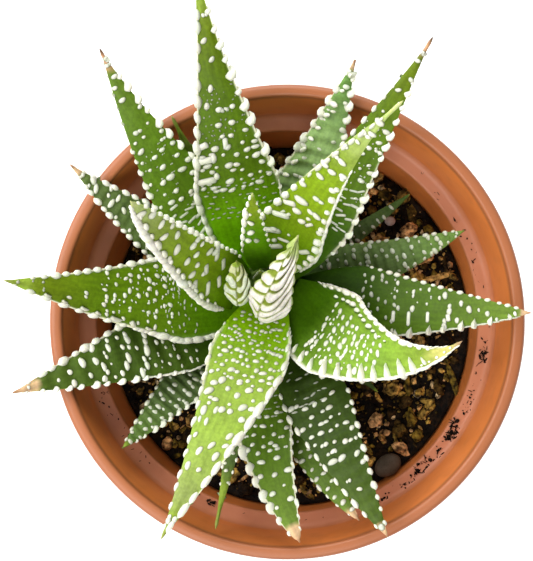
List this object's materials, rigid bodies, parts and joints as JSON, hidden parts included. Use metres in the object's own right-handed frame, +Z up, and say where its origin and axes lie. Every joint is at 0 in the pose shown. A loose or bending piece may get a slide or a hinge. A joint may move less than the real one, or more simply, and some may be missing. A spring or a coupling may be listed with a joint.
{
  "type": "potted haworthia",
  "caption": "Small haworthia rosette with pointed green leaves covered in white tubercles, growing in soil in a round terracotta-coloured plastic pot with a rim band.",
  "frame": {"origin": "centre of the pot's flat underside", "axes": "+Z up along the pot's axis; +Y towards the tallest spreading leaf; +X to the right of it seen from above"},
  "size_m": [0.1184, 0.1303, 0.1405],
  "materials": {
    "pot_plastic": "satin terracotta-coloured plastic",
    "peat_soil": "rough, damp peat and bark crumbs",
    "pebble_stone": "smooth matt stone",
    "stem_green": "matt",
    "leaf_heart": "satin, with raised pearl-white tubercles",
    "leaf_young": "satin, with raised pearl-white tubercles",
    "leaf_bright": "satin, with raised pearl-white tubercles",
    "leaf_mid": "satin, with raised pearl-white tubercles",
    "leaf_dark": "satin, with raised pearl-white tubercles",
    "leaf_pale": "satin, with raised pearl-white tubercles",
    "leaf_grey": "satin, with raised pearl-white tubercles"
  },
  "bodies": {
    "root": {"pot": "pot_plastic", "soil": "peat_soil", "pebble_dark": "pebble_stone", "pebble_pale": "pebble_stone", "stem": "stem_green", "leaf_heart_tip": "leaf_heart", "leaf_heart_south": "leaf_heart", "leaf_heart_west": "leaf_heart", "leaf_heart_north": "leaf_young", "leaf_upper_northwest": "leaf_young", "leaf_upper_northeast": "leaf_young", "leaf_upper_south": "leaf_young", "leaf_upper_north": "leaf_bright", "leaf_upper_east": "leaf_bright", "leaf_middle_northeast": "leaf_mid", "leaf_middle_west": "leaf_bright", "leaf_middle_east": "leaf_mid", "leaf_middle_southeast": "leaf_dark", "leaf_middle_northwest": "leaf_mid", "leaf_middle_south": "leaf_mid", "leaf_middle_southwest": "leaf_dark", "leaf_lower_northeast": "leaf_pale", "leaf_lower_west": "leaf_dark", "leaf_lower_east": "leaf_grey", "leaf_lower_southeast": "leaf_dark", "leaf_lower_southwest": "leaf_grey", "leaf_thin_north": "leaf_mid", "leaf_thin_south": "leaf_mid", "leaf_thin_east": "leaf_grey", "leaf_thin_southeast": "leaf_grey"}
  },
  "joints": []
}
